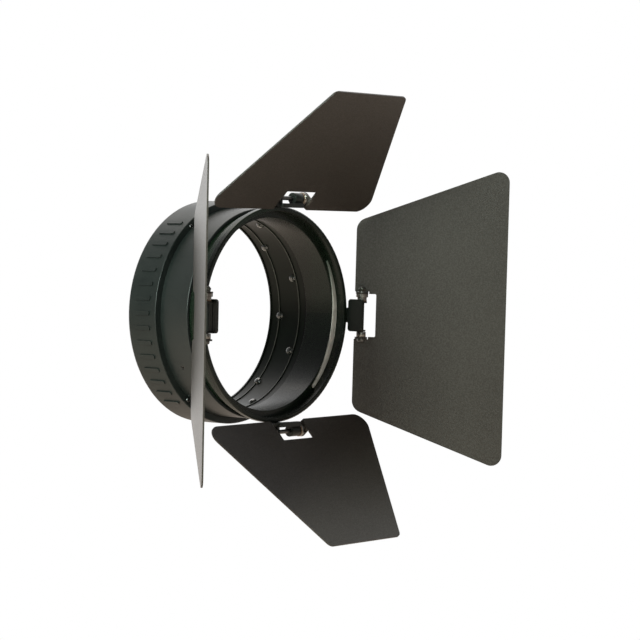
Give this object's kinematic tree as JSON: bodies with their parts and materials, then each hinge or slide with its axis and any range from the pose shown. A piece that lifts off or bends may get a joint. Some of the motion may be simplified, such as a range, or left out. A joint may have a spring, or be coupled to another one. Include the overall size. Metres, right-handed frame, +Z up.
{
  "type": "four-leaf barndoor set",
  "caption": "Barndoor accessory for a stage or studio spotlight: four black sheet leaves hinged on a turning ring at the front of a deep barrel that slides over the reflector rim.",
  "frame": {"origin": "centre of the rear mouth of the barrel, where the reflector enters", "axes": "+Y along the barrel axis, out of the rear mouth towards the lamp; the light travels along -Y; +Z up, towards the top leaf; +X towards the right leaf"},
  "size_m": [0.4165, 0.2, 0.4033],
  "materials": {
    "barrel": "matt black paint on die-cast aluminium",
    "liner": "satin black paint on spun aluminium",
    "ring": "satin black anodised aluminium",
    "clip": "blackened spring steel",
    "leaf": "fine-textured black powder coat on aluminium sheet",
    "bracket": "black zinc plated steel",
    "bolt": "bright zinc plated steel",
    "nut": "black oxide steel",
    "spacer": "nickel plated steel",
    "washer": "dark fibre friction washer",
    "stud": "matt black rubber",
    "screw": "black oxide steel"
  },
  "bodies": {
    "barrel": {"rear_band": "barrel", "front_band": "barrel", "bore_liner": "liner", "grip_studs_front": "stud", "grip_studs_rear": "stud", "liner_screws": "screw", "keeper_screws": "screw", "step_screws": "screw"},
    "hinge_ring": {"hinge_ring": "ring", "filter_clip": "clip", "hinge_bracket_top": "bracket", "bracket_screws_top": "screw", "hinge_bracket_right": "bracket", "bracket_screws_right": "screw", "hinge_bracket_bottom": "bracket", "bracket_screws_bottom": "screw", "hinge_bracket_left": "bracket", "bracket_screws_left": "screw"},
    "leaf_top": {"leaf_top": "leaf", "hinge_bolt_top": "bolt", "lock_nut_top": "nut", "nut_washer_top": "spacer", "friction_washer_top": "washer", "spacers_top": "spacer"},
    "leaf_right": {"leaf_right": "leaf", "hinge_bolt_right": "bolt", "lock_nut_right": "nut", "nut_washer_right": "spacer", "friction_washer_right": "washer", "spacers_right": "spacer"},
    "leaf_bottom": {"leaf_bottom": "leaf", "hinge_bolt_bottom": "bolt", "lock_nut_bottom": "nut", "nut_washer_bottom": "spacer", "friction_washer_bottom": "washer", "spacers_bottom": "spacer"},
    "leaf_left": {"leaf_left": "leaf", "hinge_bolt_left": "bolt", "lock_nut_left": "nut", "nut_washer_left": "spacer", "friction_washer_left": "washer", "spacers_left": "spacer"}
  },
  "joints": [
    {"name": "ring_turn", "type": "hinge", "parent": "barrel", "child": "hinge_ring", "pos_m": [0, -0.06, 0], "axis": [0, 1, 0], "continuous": true},
    {"name": "leaf_top_hinge", "type": "hinge", "parent": "hinge_ring", "child": "leaf_top", "pos_m": [0, -0.1017, 0.1075], "axis": [-1, 0, 0], "range_deg": [-87, 53]},
    {"name": "leaf_right_hinge", "type": "hinge", "parent": "hinge_ring", "child": "leaf_right", "pos_m": [0.10749, -0.1017, -0.0015], "axis": [0.014, 0, 0.9999], "range_deg": [-60.6, 59.4]},
    {"name": "leaf_bottom_hinge", "type": "hinge", "parent": "hinge_ring", "child": "leaf_bottom", "pos_m": [0.00206, -0.1017, -0.10748], "axis": [0.9998, 0, 0.0192], "range_deg": [-86.7, 53.3]},
    {"name": "leaf_left_hinge", "type": "hinge", "parent": "hinge_ring", "child": "leaf_left", "pos_m": [-0.1075, -0.1017, 0], "axis": [0, 0, -1], "range_deg": [-62.2, 57.8]}
  ]
}
